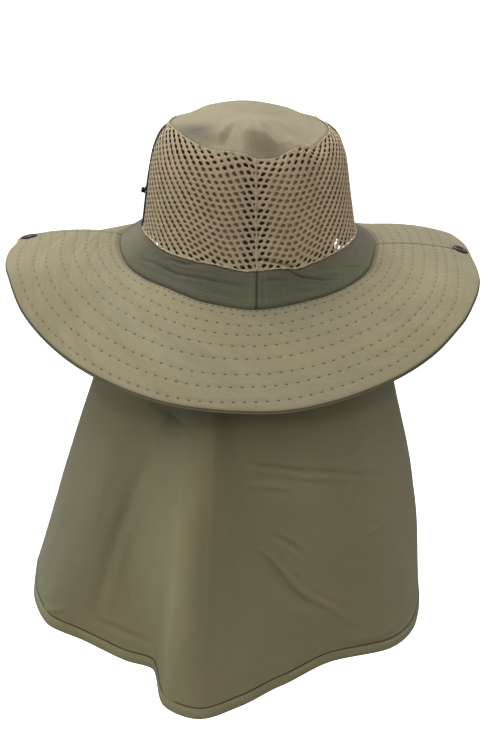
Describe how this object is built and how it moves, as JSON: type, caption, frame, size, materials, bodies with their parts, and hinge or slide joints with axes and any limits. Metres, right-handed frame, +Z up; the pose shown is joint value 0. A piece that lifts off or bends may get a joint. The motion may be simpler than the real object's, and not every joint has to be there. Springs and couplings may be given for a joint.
{
  "type": "fisherman hat with neck flap",
  "caption": "Wide-brimmed fishing hat with a netted crown, cloth band, stitched brim with press studs at the sides, and a long neck flap hanging from the back.",
  "frame": {"origin": "middle of the head opening, at the seam where crown and brim meet, where a head holds the hat", "axes": "+Z up through the crown, -Y towards the back of the head and its flap, +X the wearer's right"},
  "size_m": [0.3236, 0.3614, 0.3811],
  "materials": {
    "tip_cloth": "matte woven khaki cloth, lightly creased",
    "brim_cloth": "matte woven khaki cloth with rows of stitching",
    "net": "matte knitted net",
    "lining": "matte tan cloth",
    "band_cloth": "matte grey-olive cloth",
    "flap_cloth": "smooth olive cloth with a faint sheen",
    "tape": "matte dark tape",
    "snap": "dark brown enamelled metal"
  },
  "bodies": {
    "root": {"crown_tip": "tip_cloth", "mesh_left": "net", "mesh_right": "net", "crown_lining": "lining", "seam_tape_back": "tape", "seam_tape_front": "tape", "side_tape_left": "tape", "side_tape_right": "tape", "stud_left": "snap", "stud_right": "snap", "band_left": "band_cloth", "band_right": "band_cloth", "brim_back": "brim_cloth", "brim_front": "brim_cloth", "brim_snap_left": "snap", "brim_snap_right": "snap", "neck_flap": "flap_cloth", "flap_hem": "flap_cloth"}
  },
  "joints": []
}
